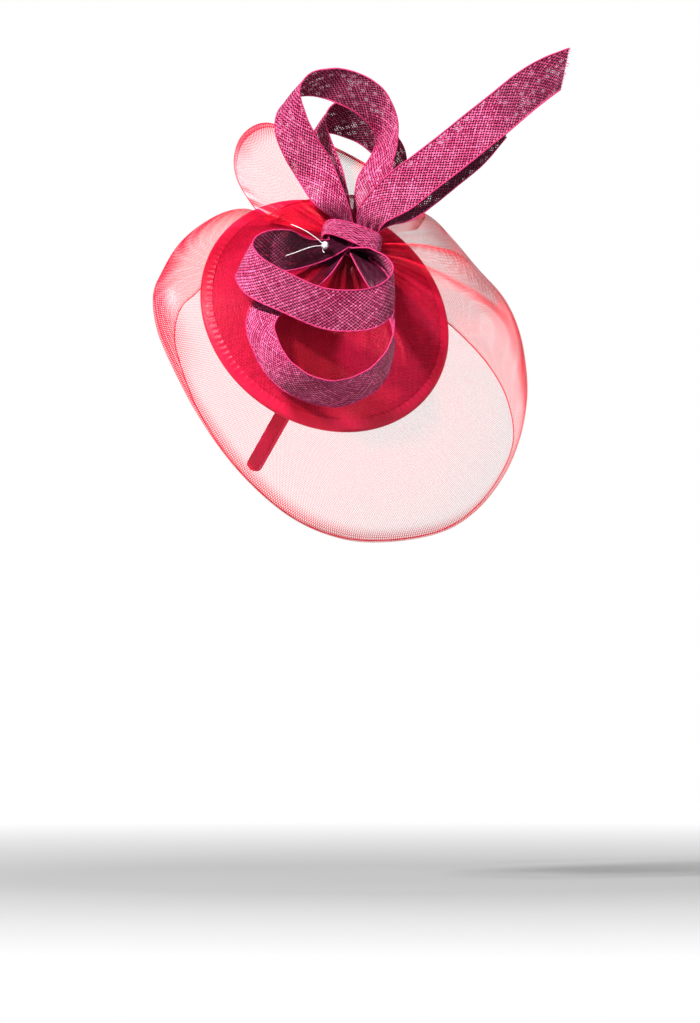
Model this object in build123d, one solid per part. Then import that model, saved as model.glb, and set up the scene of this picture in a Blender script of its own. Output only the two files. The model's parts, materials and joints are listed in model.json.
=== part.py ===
from build123d import *
import math
import os

# Fascinator headpiece in millimetres. +Z is up, +X is the wearer's forward, +Y is the wearer's left.
# The origin is where the inner face of the headband rests on the crown of the head.

# ---- headband: flat sprung core in a satin sleeve
crown_radius = 70.0
arm_radius = 475.0
arm_drop = 172.0
band_lean = 29.5
band_width = 8.7
band_thickness = 2.4
core_width = 7.0
core_thickness = 1.0
sleeve_ease = 0.05
tip_cover = 2.0
left_flex_angle = 40.0
right_flex_drop = 118.0
flex_gap = 0.5

# ---- round base: lining, buckram and cover, wired and bound at the rim
base_diameter = 158.0
dome_radius = 200.0
lining_thickness = 0.6
buckram_thickness = 1.4
cover_thickness = 0.8
layer_ease = 0.05
rim_wire = 1.2
binding_thickness = 0.6
binding_depth = 6.0
binding_ease = 0.15
base_forward = -33.5
base_down = -47.1
base_normal = Vector(0.328, -0.830, 0.451).normalized()
base_across = Vector(0.809, 0.0, -0.588)

# ---- felt pad and stitches that hold the band to the base
pad_diameter = 24.0
pad_margin = 1.0
pad_thickness = 1.0
seat_ease = 0.3
stitch_wire = 0.6
stitch_pitch = 7.0

# ---- crinoline brim, crest and gather
crin_thickness = 0.8
brim_length = 252.0
brim_width = 216.0
brim_slope = 24.0
brim_roll = 14.0
brim_roll_sweep = 75.0
brim_top_margin = 8.0
brim_shift = 25.4
brim_rise = 25.0
gather_diameter = 40.0
gather_thickness = 9.0
gather_ease = 0.4
throat_below = 27.0
throat_below_diameter = 84.0
throat_above = 13.0
throat_above_diameter = 32.0
crest_length = 124.0
crest_height = 78.0
crest_bulge = 9.0

# ---- knot and strips
knot_along = -13.4
knot_across = 35.8
wrap_width = 36.2
wrap_depth = 10.4
wrap_height = 15.0
wrap_thickness = 1.5
strip_width = 25.0
strip_thickness = 0.9
root_width = 13.6
root_pitch = 1.6
root_centre = 7.7
thread_wire = 0.9
thread_knot = 3.6

OUT = "parts"


def polar(radius, degrees):
    """Point at a radius and an angle in the drawing plane."""
    a = math.radians(degrees)
    return Vector(radius * math.cos(a), radius * math.sin(a))


def ring_sector(centre, inner, outer, start, end):
    """Flat face between two arcs of one centre, from one angle to another."""
    c = Vector(*centre)
    low = CenterArc(c, inner, start, end - start)
    high = CenterArc(c, outer, start, end - start)
    sides = [
        Line(c + polar(inner, start), c + polar(outer, start)),
        Line(c + polar(inner, end), c + polar(outer, end)),
    ]
    return make_face([low, high] + sides)


# ---------------------------------------------------------------- headband
lean = math.radians(band_lean)
band_up = Vector(math.sin(lean), 0, math.cos(lean))
band_side = Vector(math.cos(lean), 0, -math.sin(lean))
band_plane = Plane(origin=(0, 0, 0), x_dir=(0, 1, 0), z_dir=band_side)
arm_offset = arm_radius - crown_radius
tip_angle = math.degrees(math.asin((arm_drop - crown_radius) / arm_radius))
right_flex_angle = math.degrees(math.asin((right_flex_drop - crown_radius) / arm_radius))
crown_gap = math.degrees(flex_gap / crown_radius)
arm_gap = math.degrees(flex_gap / arm_radius)
cover_angle = math.degrees(tip_cover / arm_radius)


def crown_arc(low, high, start, end):
    """Sector over the head, between two heights above the inner face."""
    return ring_sector((0, -crown_radius), crown_radius + low, crown_radius + high, start, end)


def right_arc(low, high, start, end):
    """Sector of the wearer's right arm, with angles measured down from the crown arc."""
    centre = (arm_offset, -crown_radius)
    return ring_sector(centre, arm_radius + low, arm_radius + high, 180 + start, 180 + end)


def left_arc(low, high, start, end):
    """Sector of the wearer's left arm, with angles measured down from the crown arc."""
    centre = (-arm_offset, -crown_radius)
    return ring_sector(centre, arm_radius + low, arm_radius + high, -end, -start)


def slab(faces, width):
    """Solid of several touching sectors, extruded evenly to both sides."""
    solids = [extrude(face, width / 2, both=True) for face in faces]
    body = solids[0]
    for solid in solids[1:]:
        body = body + solid
    return body


def round_tip(body, tip, width):
    """Round the two corners of the end face that lies nearest to the tip."""
    end = body.faces().sort_by_distance(tip)[0]
    corners = end.edges().sort_by(SortBy.LENGTH)[:2]
    return fillet(corners, 0.47 * width)


def band_piece(where, low, high, width, reach):
    """Strip of one segment; reach is how far it stops short of the tip, in degrees."""
    if where == "crown":
        left_end = 90 - left_flex_angle
        return slab([
            crown_arc(low, high, left_end, 180),
            right_arc(low, high, 0, right_flex_angle - arm_gap),
        ], width)
    end = tip_angle - reach
    if where == "right":
        side = -1
        body = slab([right_arc(low, high, right_flex_angle, end)], width)
    else:
        side = 1
        first = 90 - left_flex_angle - crown_gap
        body = slab([crown_arc(low, high, 0, first), left_arc(low, high, 0, end)], width)
    middle = arm_radius + (low + high) / 2
    a = math.radians(end)
    tip = (side * (middle * math.cos(a) - arm_offset), -crown_radius - middle * math.sin(a), 0)
    return round_tip(body, tip, width)


def band_core(where):
    low = (band_thickness - core_thickness) / 2
    return band_plane.location * band_piece(where, low, low + core_thickness, core_width, cover_angle)


def band_cover(where):
    """Satin sleeve: the full section less the room for the core."""
    low = (band_thickness - core_thickness) / 2 - sleeve_ease
    high = band_thickness - low
    outside = band_piece(where, 0, band_thickness, band_width, 0)
    ease_angle = math.degrees(sleeve_ease / arm_radius)
    room = band_piece(where, low, high, core_width + 2 * sleeve_ease, cover_angle - ease_angle)
    return band_plane.location * (outside - room)


def band_point(degrees, height, side):
    """Point of the right half over the crown, measured from the top."""
    a = math.radians(degrees)
    r = crown_radius + height
    flat = Vector(0, -r * math.sin(a), 0) + band_up * (r * math.cos(a) - crown_radius)
    return flat + band_side * side


# ---------------------------------------------------------------- base
base_x = (base_across - base_normal * base_across.dot(base_normal)).normalized()
base_y = base_normal.cross(base_x)
under_lining = dome_radius - layer_ease - pad_thickness - seat_ease


def dome_centre(side):
    """Centre of the dome's sphere when the middle of the base lies at this side position."""
    return Vector(base_forward, side, base_down) - base_normal * dome_radius


def outermost(side):
    """Farthest point of the band from the dome's centre, and its distance."""
    centre = dome_centre(side)
    edges = [band_point(a, band_thickness, w * band_width / 2) for a in range(10, 86) for w in (-1, 1)]
    over = [p for p in edges if (p - centre).cross(base_normal).length < base_diameter / 2]
    far = max(over, key=lambda p: (p - centre).length)
    return far, (far - centre).length


def seat_side():
    """Side position at which the pad under the dome just clears the band."""
    near, wide = -200.0, -20.0
    for _ in range(60):
        middle = (near + wide) / 2
        if outermost(middle)[1] > under_lining:
            wide = middle
        else:
            near = middle
    return near


base_side = seat_side()
base_apex = Vector(base_forward, base_side, base_down)
sphere_centre = dome_centre(base_side)
base_plane = Plane(origin=base_apex, x_dir=base_x, z_dir=base_normal)
rim_angle = math.degrees(math.asin(base_diameter / 2 / dome_radius))
cover_top = lining_thickness + buckram_thickness + cover_thickness + 2 * layer_ease


def dome_ring(low, high, start, end):
    """Ring of a dome between two heights, and between two angles from its axis."""
    section = ring_sector((0, -dome_radius), dome_radius + low, dome_radius + high, 90 - end, 90 - start)
    turned = Plane.XZ.location * section
    return revolve(turned, Axis.Z, 360)


def base_layer(low, thickness):
    return base_plane.location * dome_ring(low, low + thickness, 0, rim_angle)


def arc_angle(length):
    """Angle that a length along the dome takes up."""
    return math.degrees(length / dome_radius)


wire_middle = rim_angle + arc_angle(rim_wire / 2 + layer_ease)


def base_wire():
    """Round wire that runs along the edge of the three layers."""
    mid = Vector(0, -dome_radius) + polar(dome_radius + cover_top / 2, 90 - wire_middle)
    ring = Torus(mid.X, rim_wire / 2)
    return base_plane.location * (Pos(0, 0, mid.Y) * ring)


def base_binding():
    """Folded ribbon over the rim, open towards the middle."""
    inner_end = rim_angle + arc_angle(rim_wire + 2 * layer_ease)
    start = rim_angle - arc_angle(binding_depth)
    skin = binding_thickness + binding_ease
    outside = dome_ring(-skin, cover_top + skin, start, inner_end + arc_angle(binding_thickness))
    room = dome_ring(-binding_ease, cover_top + binding_ease, start - 1, inner_end)
    return base_plane.location * (outside - room)


def felt_pad():
    """Felt disc under the lining, over the place where the band is sewn on."""
    far = outermost(base_side)[0] - sphere_centre
    away = far - base_normal * far.dot(base_normal)
    room = base_diameter / 2 - binding_depth - pad_diameter / 2 - pad_margin
    reach_out = min(away.length, room)
    height = math.sqrt(dome_radius ** 2 - reach_out ** 2)
    axis = (away.normalized() * reach_out + base_normal * height).normalized()
    side = axis.cross(Vector(0, 0, 1)).normalized()
    top = sphere_centre + axis * dome_radius
    plane = Plane(origin=top, x_dir=side, z_dir=axis)
    half = math.degrees(math.asin(pad_diameter / 2 / dome_radius))
    low = -layer_ease - pad_thickness
    return plane.location * dome_ring(low, -layer_ease, 0, half)


def band_stitches():
    """Two thread staples that pass under the band and up to the pad."""
    far = outermost(base_side)[0]
    angle = math.degrees(math.atan2(-far.Y, far.dot(band_up) + crown_radius))
    step = math.degrees(stitch_pitch / 2 / crown_radius)
    inside = band_width / 2 + layer_ease
    stitches = []
    for a in (angle - step, angle + step):
        t = math.radians(a)
        origin = band_point(a, 0, 0)
        out = Vector(0, -math.sin(t), 0) + band_up * math.cos(t)
        plane = Plane(origin=origin, x_dir=band_side, z_dir=out)
        outer = Box(2 * (inside + stitch_wire), stitch_wire, stitch_wire + band_thickness + layer_ease)
        outer = Pos(0, 0, (band_thickness - stitch_wire - layer_ease) / 2) * outer
        room = Box(2 * inside, 2 * stitch_wire, band_thickness + 4 * layer_ease)
        room = Pos(0, 0, band_thickness / 2 + layer_ease) * room
        stitches.append(plane.location * (outer - room))
    return Compound(children=stitches)


# ---------------------------------------------------------------- knot
reach = math.hypot(knot_along, knot_across)
knot_drop = dome_radius - math.sqrt(dome_radius ** 2 - reach ** 2)
stand_off = cover_top + seat_ease + gather_thickness + seat_ease + wrap_depth / 2
knot_foot = base_plane.from_local_coords(Vector(knot_along, knot_across, -knot_drop))
knot_out = (knot_foot - sphere_centre).normalized()
knot = knot_foot + knot_out * stand_off
knot_right = (Vector(0.972, 0, -0.235) - knot_out * knot_out.dot(Vector(0.972, 0, -0.235))).normalized()
knot_plane = Plane(origin=knot, x_dir=knot_right, z_dir=knot_out)
knot_up = knot_plane.y_dir


def knot_wrap():
    """Oval band that holds the strips together; they pass through it from below and above."""
    rounding = wrap_depth / 2 - 0.3
    outer = RectangleRounded(wrap_width, wrap_depth, rounding)
    inner = RectangleRounded(
        wrap_width - 2 * wrap_thickness, wrap_depth - 2 * wrap_thickness, rounding - wrap_thickness
    )
    tube = extrude(outer - inner, wrap_height / 2, both=True)
    across = Plane(origin=knot, x_dir=knot_right, z_dir=-knot_up)
    return across.location * tube


def root(column, layer, end):
    """Station inside the wrap: column -1 or 1, layer from the front, end -1 below or 1 above."""
    lift = (1.5 - layer) * root_pitch
    where = knot + knot_right * (column * root_centre) + knot_out * lift
    return where + knot_up * (end * 0.5)


def strip_root(column, layer, end, flip=1):
    """Stations that run straight through the mouth of the wrap."""
    first = root(column, layer, end)
    across = knot_right * flip
    lifts = (0, wrap_height / 4, wrap_height / 2, wrap_height / 2 + 2.0)
    return [(first + knot_up * (end * lift), across, root_width) for lift in lifts]


def beyond(rows):
    """Stations given as an offset from the knot, the direction across, and a share of the width."""
    made = []
    for x, y, z, ax, ay, az, share in rows:
        made.append((knot + Vector(x, y, z), Vector(ax, ay, az).normalized(), strip_width * share))
    return made


def blend(p0, p1, p2, p3, t):
    """Smooth curve between the two middle values."""
    a = p1 * 2
    b = (p2 - p0) * t
    c = (p0 * 2 - p1 * 5 + p2 * 4 - p3) * t ** 2
    d = (p1 * 3 - p0 - p2 * 3 + p3) * t ** 3
    return (a + b + c + d) * 0.5


def ribbon(stations, steps=4):
    """Solid strip through stations of a centre, a direction across and a width."""
    centres = [s[0] for s in stations]
    spans = [s[1] * s[2] for s in stations]
    centres = [centres[0] * 2 - centres[1]] + centres + [centres[-1] * 2 - centres[-2]]
    spans = [spans[0]] + spans + [spans[-1]]
    path = []
    for i in range(1, len(centres) - 2):
        for k in range(steps):
            t = k / steps
            path.append((blend(*centres[i - 1:i + 3], t), blend(*spans[i - 1:i + 3], t)))
    path.append((centres[-2], spans[-2]))
    sections = []
    for i, (middle, span) in enumerate(path):
        ahead = path[min(i + 1, len(path) - 1)][0] - path[max(i - 1, 0)][0]
        flat = ahead.cross(span).normalized() * (strip_thickness / 2)
        half = span * 0.5
        corners = [middle - half - flat, middle + half - flat, middle + half + flat, middle - half + flat]
        sections.append(make_face(Polyline(*corners, close=True)))
    return loft(sections, ruled=True)


def loop_upper_front():
    rows = [
        (-13.6, -2, 23.6, -0.93, -0.10, -0.20, 0.80),
        (-22.9, 3, 42.2, -0.75, 0.35, -0.55, 1.0),
        (-31.0, 0, 55.2, -0.75, 0.35, -0.52, 1.0),
        (-37.6, -3, 69.5, -0.70, 0.42, -0.55, 1.0),
        (-39.6, -4, 84.0, -0.60, 0.42, -0.68, 1.0),
        (-32.2, -3, 94.0, -0.62, 0.38, -0.68, 1.0),
        (-17.4, -1, 97.0, -0.66, 0.36, -0.66, 1.0),
        (-1.9, 1, 93.0, -0.66, 0.36, -0.66, 1.0),
        (12.2, 4, 84.5, -0.60, 0.50, -0.60, 1.0),
        (21.0, 8, 71.0, -0.50, 0.70, -0.45, 1.0),
        (20.6, 11, 56.4, -0.60, 0.75, -0.20, 1.0),
        (13.8, 13, 40.0, -0.80, 0.55, -0.10, 0.95),
        (9.5, 9.5, 20.0, -0.95, 0.20, 0.0, 0.66),
    ]
    return ribbon(strip_root(-1, 1, 1, -1) + beyond(rows) + strip_root(1, 2, 1, -1)[::-1])


def loop_upper_back():
    rows = [
        (-9.5, 6.5, 24.0, -0.92, 0.10, -0.10, 0.62),
        (-16.1, 18, 42.8, -0.75, 0.55, -0.35, 0.95),
        (-21.5, 21, 58.0, -0.60, 0.62, -0.48, 1.0),
        (-22.0, 23, 69.0, -0.45, 0.60, -0.66, 1.0),
        (-14.0, 25, 76.0, -0.42, 0.55, -0.72, 1.0),
        (0.6, 27, 73.5, -0.42, 0.55, -0.72, 1.0),
        (15.4, 30, 65.0, -0.45, 0.60, -0.66, 1.0),
        (25.9, 31, 50.0, -0.55, 0.72, -0.40, 1.0),
        (23.6, 28, 34.7, -0.75, 0.62, -0.15, 0.95),
        (14.5, 13, 16.0, -0.92, 0.30, 0.0, 0.62),
    ]
    return ribbon(strip_root(-1, 2.2, 1, -1) + beyond(rows) + strip_root(1, 3, 1, -1)[::-1])


def tail_long():
    rows = [
        (13.0, -0.5, 15.0, -0.80, 0.0, 0.50, 0.75),
        (28.5, -3, 27.9, -0.63, 0.0, 0.77, 1.0),
        (45.5, -7, 41.0, -0.62, 0.0, 0.78, 1.0),
        (63.2, -10, 54.6, -0.62, 0.0, 0.78, 1.0),
        (78.0, -12, 66.5, -0.60, 0.0, 0.80, 1.0),
        (91.1, -13, 76.9, -0.52, 0.0, 0.85, 1.0),
        (107.0, -14, 90.0, -0.40, 0.0, 0.92, 1.0),
        (119.7, -13, 98.5, -0.15, 0.0, 0.98, 1.0),
        (132.1, -11, 104.8, 0.20, 0.0, 0.98, 1.04),
    ]
    return ribbon(strip_root(1, -0.3, 1, -1) + beyond(rows))


def tail_short():
    rows = [
        (16.0, 3.5, 12.0, -0.85, 0.0, 0.50, 0.65),
        (30.0, 1.0, 20.5, -0.68, 0.0, 0.73, 0.95),
        (43.0, -1.0, 30.5, -0.63, 0.0, 0.77, 1.0),
        (57.0, -3.0, 41.8, -0.62, 0.0, 0.78, 1.0),
        (74.4, -5, 56.2, -0.58, 0.0, 0.81, 1.0),
        (92.5, -6, 74.5, -0.28, 0.0, 0.96, 0.98),
    ]
    return ribbon(strip_root(1, 1, 1, -1) + beyond(rows))


def loop_lower_front():
    start = [
        (-23.0, -25, -8.0, -0.55, -0.25, 0.80, 0.70),
        (-38.4, -40, -8.7, 0.05, 0.10, 0.99, 1.0),
        (-55.0, -46, -9.0, 0.25, -0.05, 0.97, 1.0),
        (-66.0, -56, -13.6, 0.45, -0.15, 0.87, 0.95),
        (-60.5, -69, -24.5, 0.30, -0.10, 0.95, 1.0),
        (-42.2, -76, -34.7, 0.05, 0.0, 1.0, 1.0),
        (-18.0, -78, -45.0, 0.0, 0.0, 1.0, 1.0),
        (2.5, -76, -46.5, 0.0, 0.0, 1.0, 1.0),
        (16.5, -70, -43.4, 0.0, 0.05, 1.0, 1.0),
        (24.8, -60, -35.5, 0.0, 0.10, 1.0, 1.0),
        (24.5, -46, -25.0, -0.15, 0.15, 0.97, 0.9),
        (16.5, -28, -14.5, -0.55, 0.10, 0.80, 0.72),
    ]
    return ribbon(strip_root(-1, 1, -1, -1) + beyond(start) + strip_root(1, 0, -1, -1)[::-1])


def loop_lower_hanging():
    rows = [
        (-21.0, -25, -22.0, 0.88, -0.25, -0.35, 0.58),
        (-36.0, -46, -32.0, 0.75, -0.35, -0.55, 0.75),
        (-49.0, -59, -41.0, 0.70, -0.52, -0.45, 0.88),
        (-55.8, -70, -52.0, 0.66, -0.68, -0.22, 1.0),
        (-53.9, -78, -65.1, 0.68, -0.71, 0.05, 1.0),
        (-44.6, -85, -82.0, 0.55, -0.75, 0.35, 1.0),
        (-28.6, -87, -93.5, 0.30, -0.78, 0.55, 1.0),
        (-8.0, -84, -97.5, 0.0, -0.78, 0.62, 1.0),
        (13.0, -75, -88.5, -0.30, -0.85, 0.42, 1.0),
        (23.8, -65, -71.9, -0.15, -0.98, 0.12, 1.0),
        (25.4, -54, -55.2, 0.05, -1.0, 0.0, 0.85),
        (21.5, -38, -39.0, 0.45, -0.80, 0.35, 0.65),
        (14.5, -22, -24.0, 0.88, -0.25, 0.25, 0.58),
    ]
    return ribbon(strip_root(-1, 2.5, -1) + beyond(rows) + strip_root(1, 2.5, -1)[::-1])


def gather_thread():
    """Tied thread at the lower left corner of the wrap, with two loose ends."""
    corner = (
        knot - knot_right * (wrap_width / 2 - 3.0) - knot_up * (wrap_height / 2 - 2.0)
        + knot_out * (wrap_depth / 2 + layer_ease + thread_knot / 2)
    )
    body = Pos(*corner) * Sphere(thread_knot / 2)
    ends = [
        [corner, corner + Vector(-9, -2, 6), corner + Vector(-20, -3, 12)],
        [corner, corner + Vector(-10, -7, -1), corner + Vector(-21, -14, -3)],
    ]
    for points in ends:
        for a, b in zip(points, points[1:]):
            rod = Solid.make_cylinder(thread_wire / 2, (b - a).length, Plane(origin=a, z_dir=b - a))
            body = body + rod + Pos(*b) * Sphere(thread_wire / 2)
    return body


# ---------------------------------------------------------------- crinoline
semi_across = brim_width / 2
flat_run = math.sin(math.radians(brim_slope))
brim_radius = (semi_across - crin_thickness - brim_roll * (1 - flat_run)) / flat_run
brim_y = base_diameter / 2 + brim_top_margin - semi_across
brim_apex = base_plane.from_local_coords(Vector(brim_shift, brim_y, brim_rise))
brim_plane = Plane(origin=brim_apex, x_dir=base_x, z_dir=base_normal)


def stretched(body):
    """Turn a round shape into one as long as the brim along its own x."""
    return scale(body, by=(brim_length / brim_width, 1, 1))


def revolved(section):
    return revolve(Plane.XZ.location * section, Axis.Z, 360)


def roll_hub():
    """Centre of the rolled edge in the meridian plane."""
    return Vector(0, -brim_radius) + polar(brim_radius - brim_roll, 90 - brim_slope)


def brim_fill(extra):
    """Everything under the brim's dome, raised by a small amount."""
    top = brim_radius + crin_thickness + extra
    cap = revolved(ring_sector((0, -brim_radius), brim_radius * 0.3, top, 90 - brim_slope, 90))
    hub = roll_hub()
    edge = brim_roll + crin_thickness + extra
    side = revolved(ring_sector((hub.X, hub.Y), brim_roll * 0.3, edge, -10, 90 - brim_slope))
    return brim_plane.location * stretched(cap + side)


def gather_shape(diameter, height, up=0.0):
    """Round plug under the knot, along the direction in which the knot stands off the base."""
    start = knot_foot - knot_out * 6.0 + knot_up * up
    return Solid.make_cylinder(diameter / 2, height + 6.0, Plane(origin=start, z_dir=knot_out))


def crin_gather():
    """Bunched crinoline between the base and the knot."""
    plug = gather_shape(gather_diameter, cover_top + seat_ease + gather_thickness)
    under = Pos(*sphere_centre) * Sphere(dome_radius + cover_top + seat_ease)
    return plug - under


def crin_brim():
    """Cupped oval of crinoline whose edge rolls back towards the head."""
    end = brim_slope
    hub = roll_hub()
    dome = ring_sector((0, -brim_radius), brim_radius, brim_radius + crin_thickness, 90 - end, 90)
    roll = ring_sector(
        (hub.X, hub.Y), brim_roll, brim_roll + crin_thickness, 90 - end - brim_roll_sweep, 90 - end
    )
    shell = brim_plane.location * stretched(revolved(dome) + revolved(roll))
    hole = gather_shape(gather_diameter + 2 * gather_ease, 60.0)
    below = gather_shape(throat_below_diameter, 60.0, -throat_below)
    above = gather_shape(throat_above_diameter, 60.0, throat_above)
    return shell - hole - below - above


def crin_crest():
    """Upright lobe of crinoline behind the upper loops."""
    crest_x = Vector(0.966, 0.05, -0.26).normalized()
    toward = Vector(-0.10, 0.57, 0.80)
    crest_y = (toward - crest_x * toward.dot(crest_x)).normalized()
    middle = knot + Vector(-16.7, 48.0, 40.0)
    half = crest_height / 2
    radius = (half ** 2 + crest_bulge ** 2) / (2 * crest_bulge)
    spread = math.degrees(math.asin(half / radius))
    cap = revolved(ring_sector((0, -radius), radius, radius + crin_thickness, 90 - spread, 90))
    cap = scale(cap, by=(crest_length / crest_height, 1, 1))
    normal = crest_x.cross(crest_y)
    top = middle + normal * crest_bulge
    shell = Plane(origin=top, x_dir=crest_x, z_dir=normal).location * cap
    skirt = 3 * binding_thickness
    rim = base_plane.location * dome_ring(-skirt, cover_top + skirt, 0, rim_angle + arc_angle(binding_depth))
    cut = shell - brim_fill(gather_ease) - rim
    return cut.solids().sort_by(SortBy.VOLUME)[-1]


PARTS = {
    "band_core_crown": lambda: band_core("crown"),
    "band_core_right": lambda: band_core("right"),
    "band_core_left": lambda: band_core("left"),
    "band_cover_crown": lambda: band_cover("crown"),
    "band_cover_right": lambda: band_cover("right"),
    "band_cover_left": lambda: band_cover("left"),
    "felt_pad": felt_pad,
    "band_stitches": band_stitches,
    "base_lining": lambda: base_layer(0, lining_thickness),
    "base_buckram": lambda: base_layer(lining_thickness + layer_ease, buckram_thickness),
    "base_cover": lambda: base_layer(cover_top - cover_thickness, cover_thickness),
    "base_wire": base_wire,
    "base_binding": base_binding,
    "crin_gather": crin_gather,
    "crin_brim": crin_brim,
    "crin_crest": crin_crest,
    "loop_upper_front": loop_upper_front,
    "loop_upper_back": loop_upper_back,
    "loop_lower_front": loop_lower_front,
    "loop_lower_hanging": loop_lower_hanging,
    "tail_long": tail_long,
    "tail_short": tail_short,
    "knot_wrap": knot_wrap,
    "gather_thread": gather_thread,
}

os.makedirs(OUT, exist_ok=True)
for name, build in PARTS.items():
    export_step(build(), f"{OUT}/{name}.step")

print("knot", knot, "base apex", base_apex, "pad reach", outermost(base_side)[0])
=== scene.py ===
# %% [markdown]
# # A crimson fascinator, piece by piece
#
# A fascinator is a small dress hat worn on the side of the head. This one has a satin headband, a round
# wired base, a saucer and a crest of crinoline, and loops and tails of sinamay strip tied in one knot.
# The CAD model gives the true place of every piece. Here each cloth piece is built again as real cloth,
# in metres, in the same frame: +Z up, +X the wearer's forward, +Y the wearer's left.

# %% Load the fixed frame
import json
import math
import bpy
import numpy as np
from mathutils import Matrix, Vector


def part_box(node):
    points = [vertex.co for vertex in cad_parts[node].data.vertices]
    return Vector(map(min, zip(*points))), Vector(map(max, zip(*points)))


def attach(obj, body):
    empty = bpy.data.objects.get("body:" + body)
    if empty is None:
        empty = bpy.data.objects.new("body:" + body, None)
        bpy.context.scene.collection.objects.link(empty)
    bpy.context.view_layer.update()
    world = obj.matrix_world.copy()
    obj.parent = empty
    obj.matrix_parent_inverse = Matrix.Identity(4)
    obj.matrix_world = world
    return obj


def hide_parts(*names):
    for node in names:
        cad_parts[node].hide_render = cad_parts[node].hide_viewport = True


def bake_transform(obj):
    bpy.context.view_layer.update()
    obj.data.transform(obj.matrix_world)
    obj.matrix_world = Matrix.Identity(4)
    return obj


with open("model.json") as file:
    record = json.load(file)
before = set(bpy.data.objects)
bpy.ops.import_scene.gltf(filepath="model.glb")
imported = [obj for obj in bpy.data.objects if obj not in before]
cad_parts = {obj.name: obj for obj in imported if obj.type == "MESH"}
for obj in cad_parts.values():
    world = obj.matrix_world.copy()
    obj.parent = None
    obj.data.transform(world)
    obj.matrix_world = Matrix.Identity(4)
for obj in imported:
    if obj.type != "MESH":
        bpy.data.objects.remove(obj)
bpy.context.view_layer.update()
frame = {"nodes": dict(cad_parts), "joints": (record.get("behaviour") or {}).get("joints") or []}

# %% [markdown]
# ## Small helpers
#
# Lengths of a hat are easiest to read in millimetres, so `mm` turns them into metres. Soft shapes come from
# smooth curves through a few chosen stations, and each cloth is one grid of points, so that its weave can
# follow the two directions of the cloth.

# %% Units and curves
mm = 0.001


def vec(*values):
    return np.array(values, float)


def unit(v):
    v = np.array(v, float)
    return v / np.linalg.norm(v)


def smooth(x, low, high):
    """0 below low, 1 above high, and an even ramp between them."""
    t = np.clip((np.asarray(x, float) - low) / (high - low), 0, 1)
    return t * t * (3 - 2 * t)


def through(rows, steps):
    """Catmull-Rom curve through rows of numbers, with some steps between each pair."""
    rows = np.array(rows, float)
    rows = np.vstack([2 * rows[0] - rows[1], rows, 2 * rows[-1] - rows[-2]])
    made = []
    for i in range(1, len(rows) - 2):
        p0, p1, p2, p3 = rows[i - 1:i + 3]
        for t in np.arange(steps) / steps:
            made.append(0.5 * (2 * p1 + (p2 - p0) * t + (2 * p0 - 5 * p1 + 4 * p2 - p3) * t ** 2
                               + (3 * p1 - p0 - 3 * p2 + p3) * t ** 3))
    made.append(rows[-2])
    return np.array(made)


def travelled(points):
    """Distance along a line of points, from its first one."""
    return np.concatenate([[0], np.cumsum(np.linalg.norm(np.diff(points, axis=0), axis=1))])


def area_of(points):
    """Area of a grid of points."""
    corner = points[:-1, :-1]
    down, along = points[1:, :-1] - corner, points[:-1, 1:] - corner
    return float(np.linalg.norm(np.cross(down, along), axis=-1).sum())


def middle(node):
    low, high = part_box(node)
    return (np.array(low) + np.array(high)) / 2


# %% Cloth grids and thin tubes
def placed(name, data):
    thing = bpy.data.objects.new(name, data)
    bpy.context.scene.collection.objects.link(thing)
    return thing


def quads(rows, columns, wide):
    """Corners of the faces of a grid of points, `wide` faces to a row. The last column joins the first one
    where there are as many faces as columns."""
    r, c = np.meshgrid(np.arange(rows - 1), np.arange(wide), indexing="ij")
    d = (c + 1) % columns
    corners = [r * columns + c, r * columns + d, (r + 1) * columns + d, (r + 1) * columns + c]
    return np.stack(corners, -1).reshape(-1, 4)


def cloth_mesh(name, points, faces, cloth, finish):
    """Object of points and faces. `cloth` holds, for each point, where it lies in the flat cloth."""
    mesh = bpy.data.meshes.new(name)
    mesh.from_pydata(points.reshape(-1, 3).tolist(), [], faces.tolist())
    mesh.attributes.new("cloth", "FLOAT_VECTOR", "POINT").data.foreach_set(
        "vector", cloth.reshape(-1).astype(np.float32))
    mesh.shade_smooth()
    mesh.materials.append(finish)
    return placed(name, mesh)


def grid(name, points, cloth, finish, depth=None):
    """Sheet of rows and columns of points. `depth` tells how much painted shade darkens each point, from 0 to
    1.
    """
    rows, columns = points.shape[:2]
    piece = cloth_mesh(name, points, quads(rows, columns, columns - 1), cloth, finish)
    if depth is not None:
        piece.data.attributes.new("depth", "FLOAT", "POINT").data.foreach_set(
            "value", np.broadcast_to(depth, points.shape[:2]).reshape(-1).astype(np.float32))
    return piece


def worn(piece, slot, *nodes):
    """A piece of the headpiece, shown in place of the CAD nodes named. `slot` is not used."""
    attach(piece, "headpiece")
    if nodes:
        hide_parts(*nodes)


def laid(points, across, along, crowd=1):
    """Cloth numbers of a grid of points."""
    return np.stack([np.broadcast_to(value, points.shape[:2]) for value in (across, along, crowd)], -1)


def frames_along(points):
    """Two directions across a line at each point, turning as little as possible."""
    ahead = np.gradient(points, axis=0)
    ahead /= np.linalg.norm(ahead, axis=1)[:, None] + 1e-12
    side = np.cross(ahead[0], vec(0.31, 0.21, 0.93))
    sides = []
    for a in ahead:
        side = side - a * (side @ a)
        side = side / np.linalg.norm(side)
        sides.append(side)
    sides = np.array(sides)
    return sides, np.cross(ahead, sides)


def tube(points, radius, around=6):
    """Grid of a round thread along a line, with its place in the cloth attribute."""
    a, b = frames_along(points)
    turn = np.arange(around) / around * math.tau
    radius = np.broadcast_to(radius, (len(points),))
    ring = a[:, None] * np.cos(turn)[None, :, None] + b[:, None] * np.sin(turn)[None, :, None]
    shape = points[:, None] + ring * radius[:, None, None]
    along = travelled(points)
    return shape, laid(shape, turn[None] * radius[:, None], along[:, None])


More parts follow.
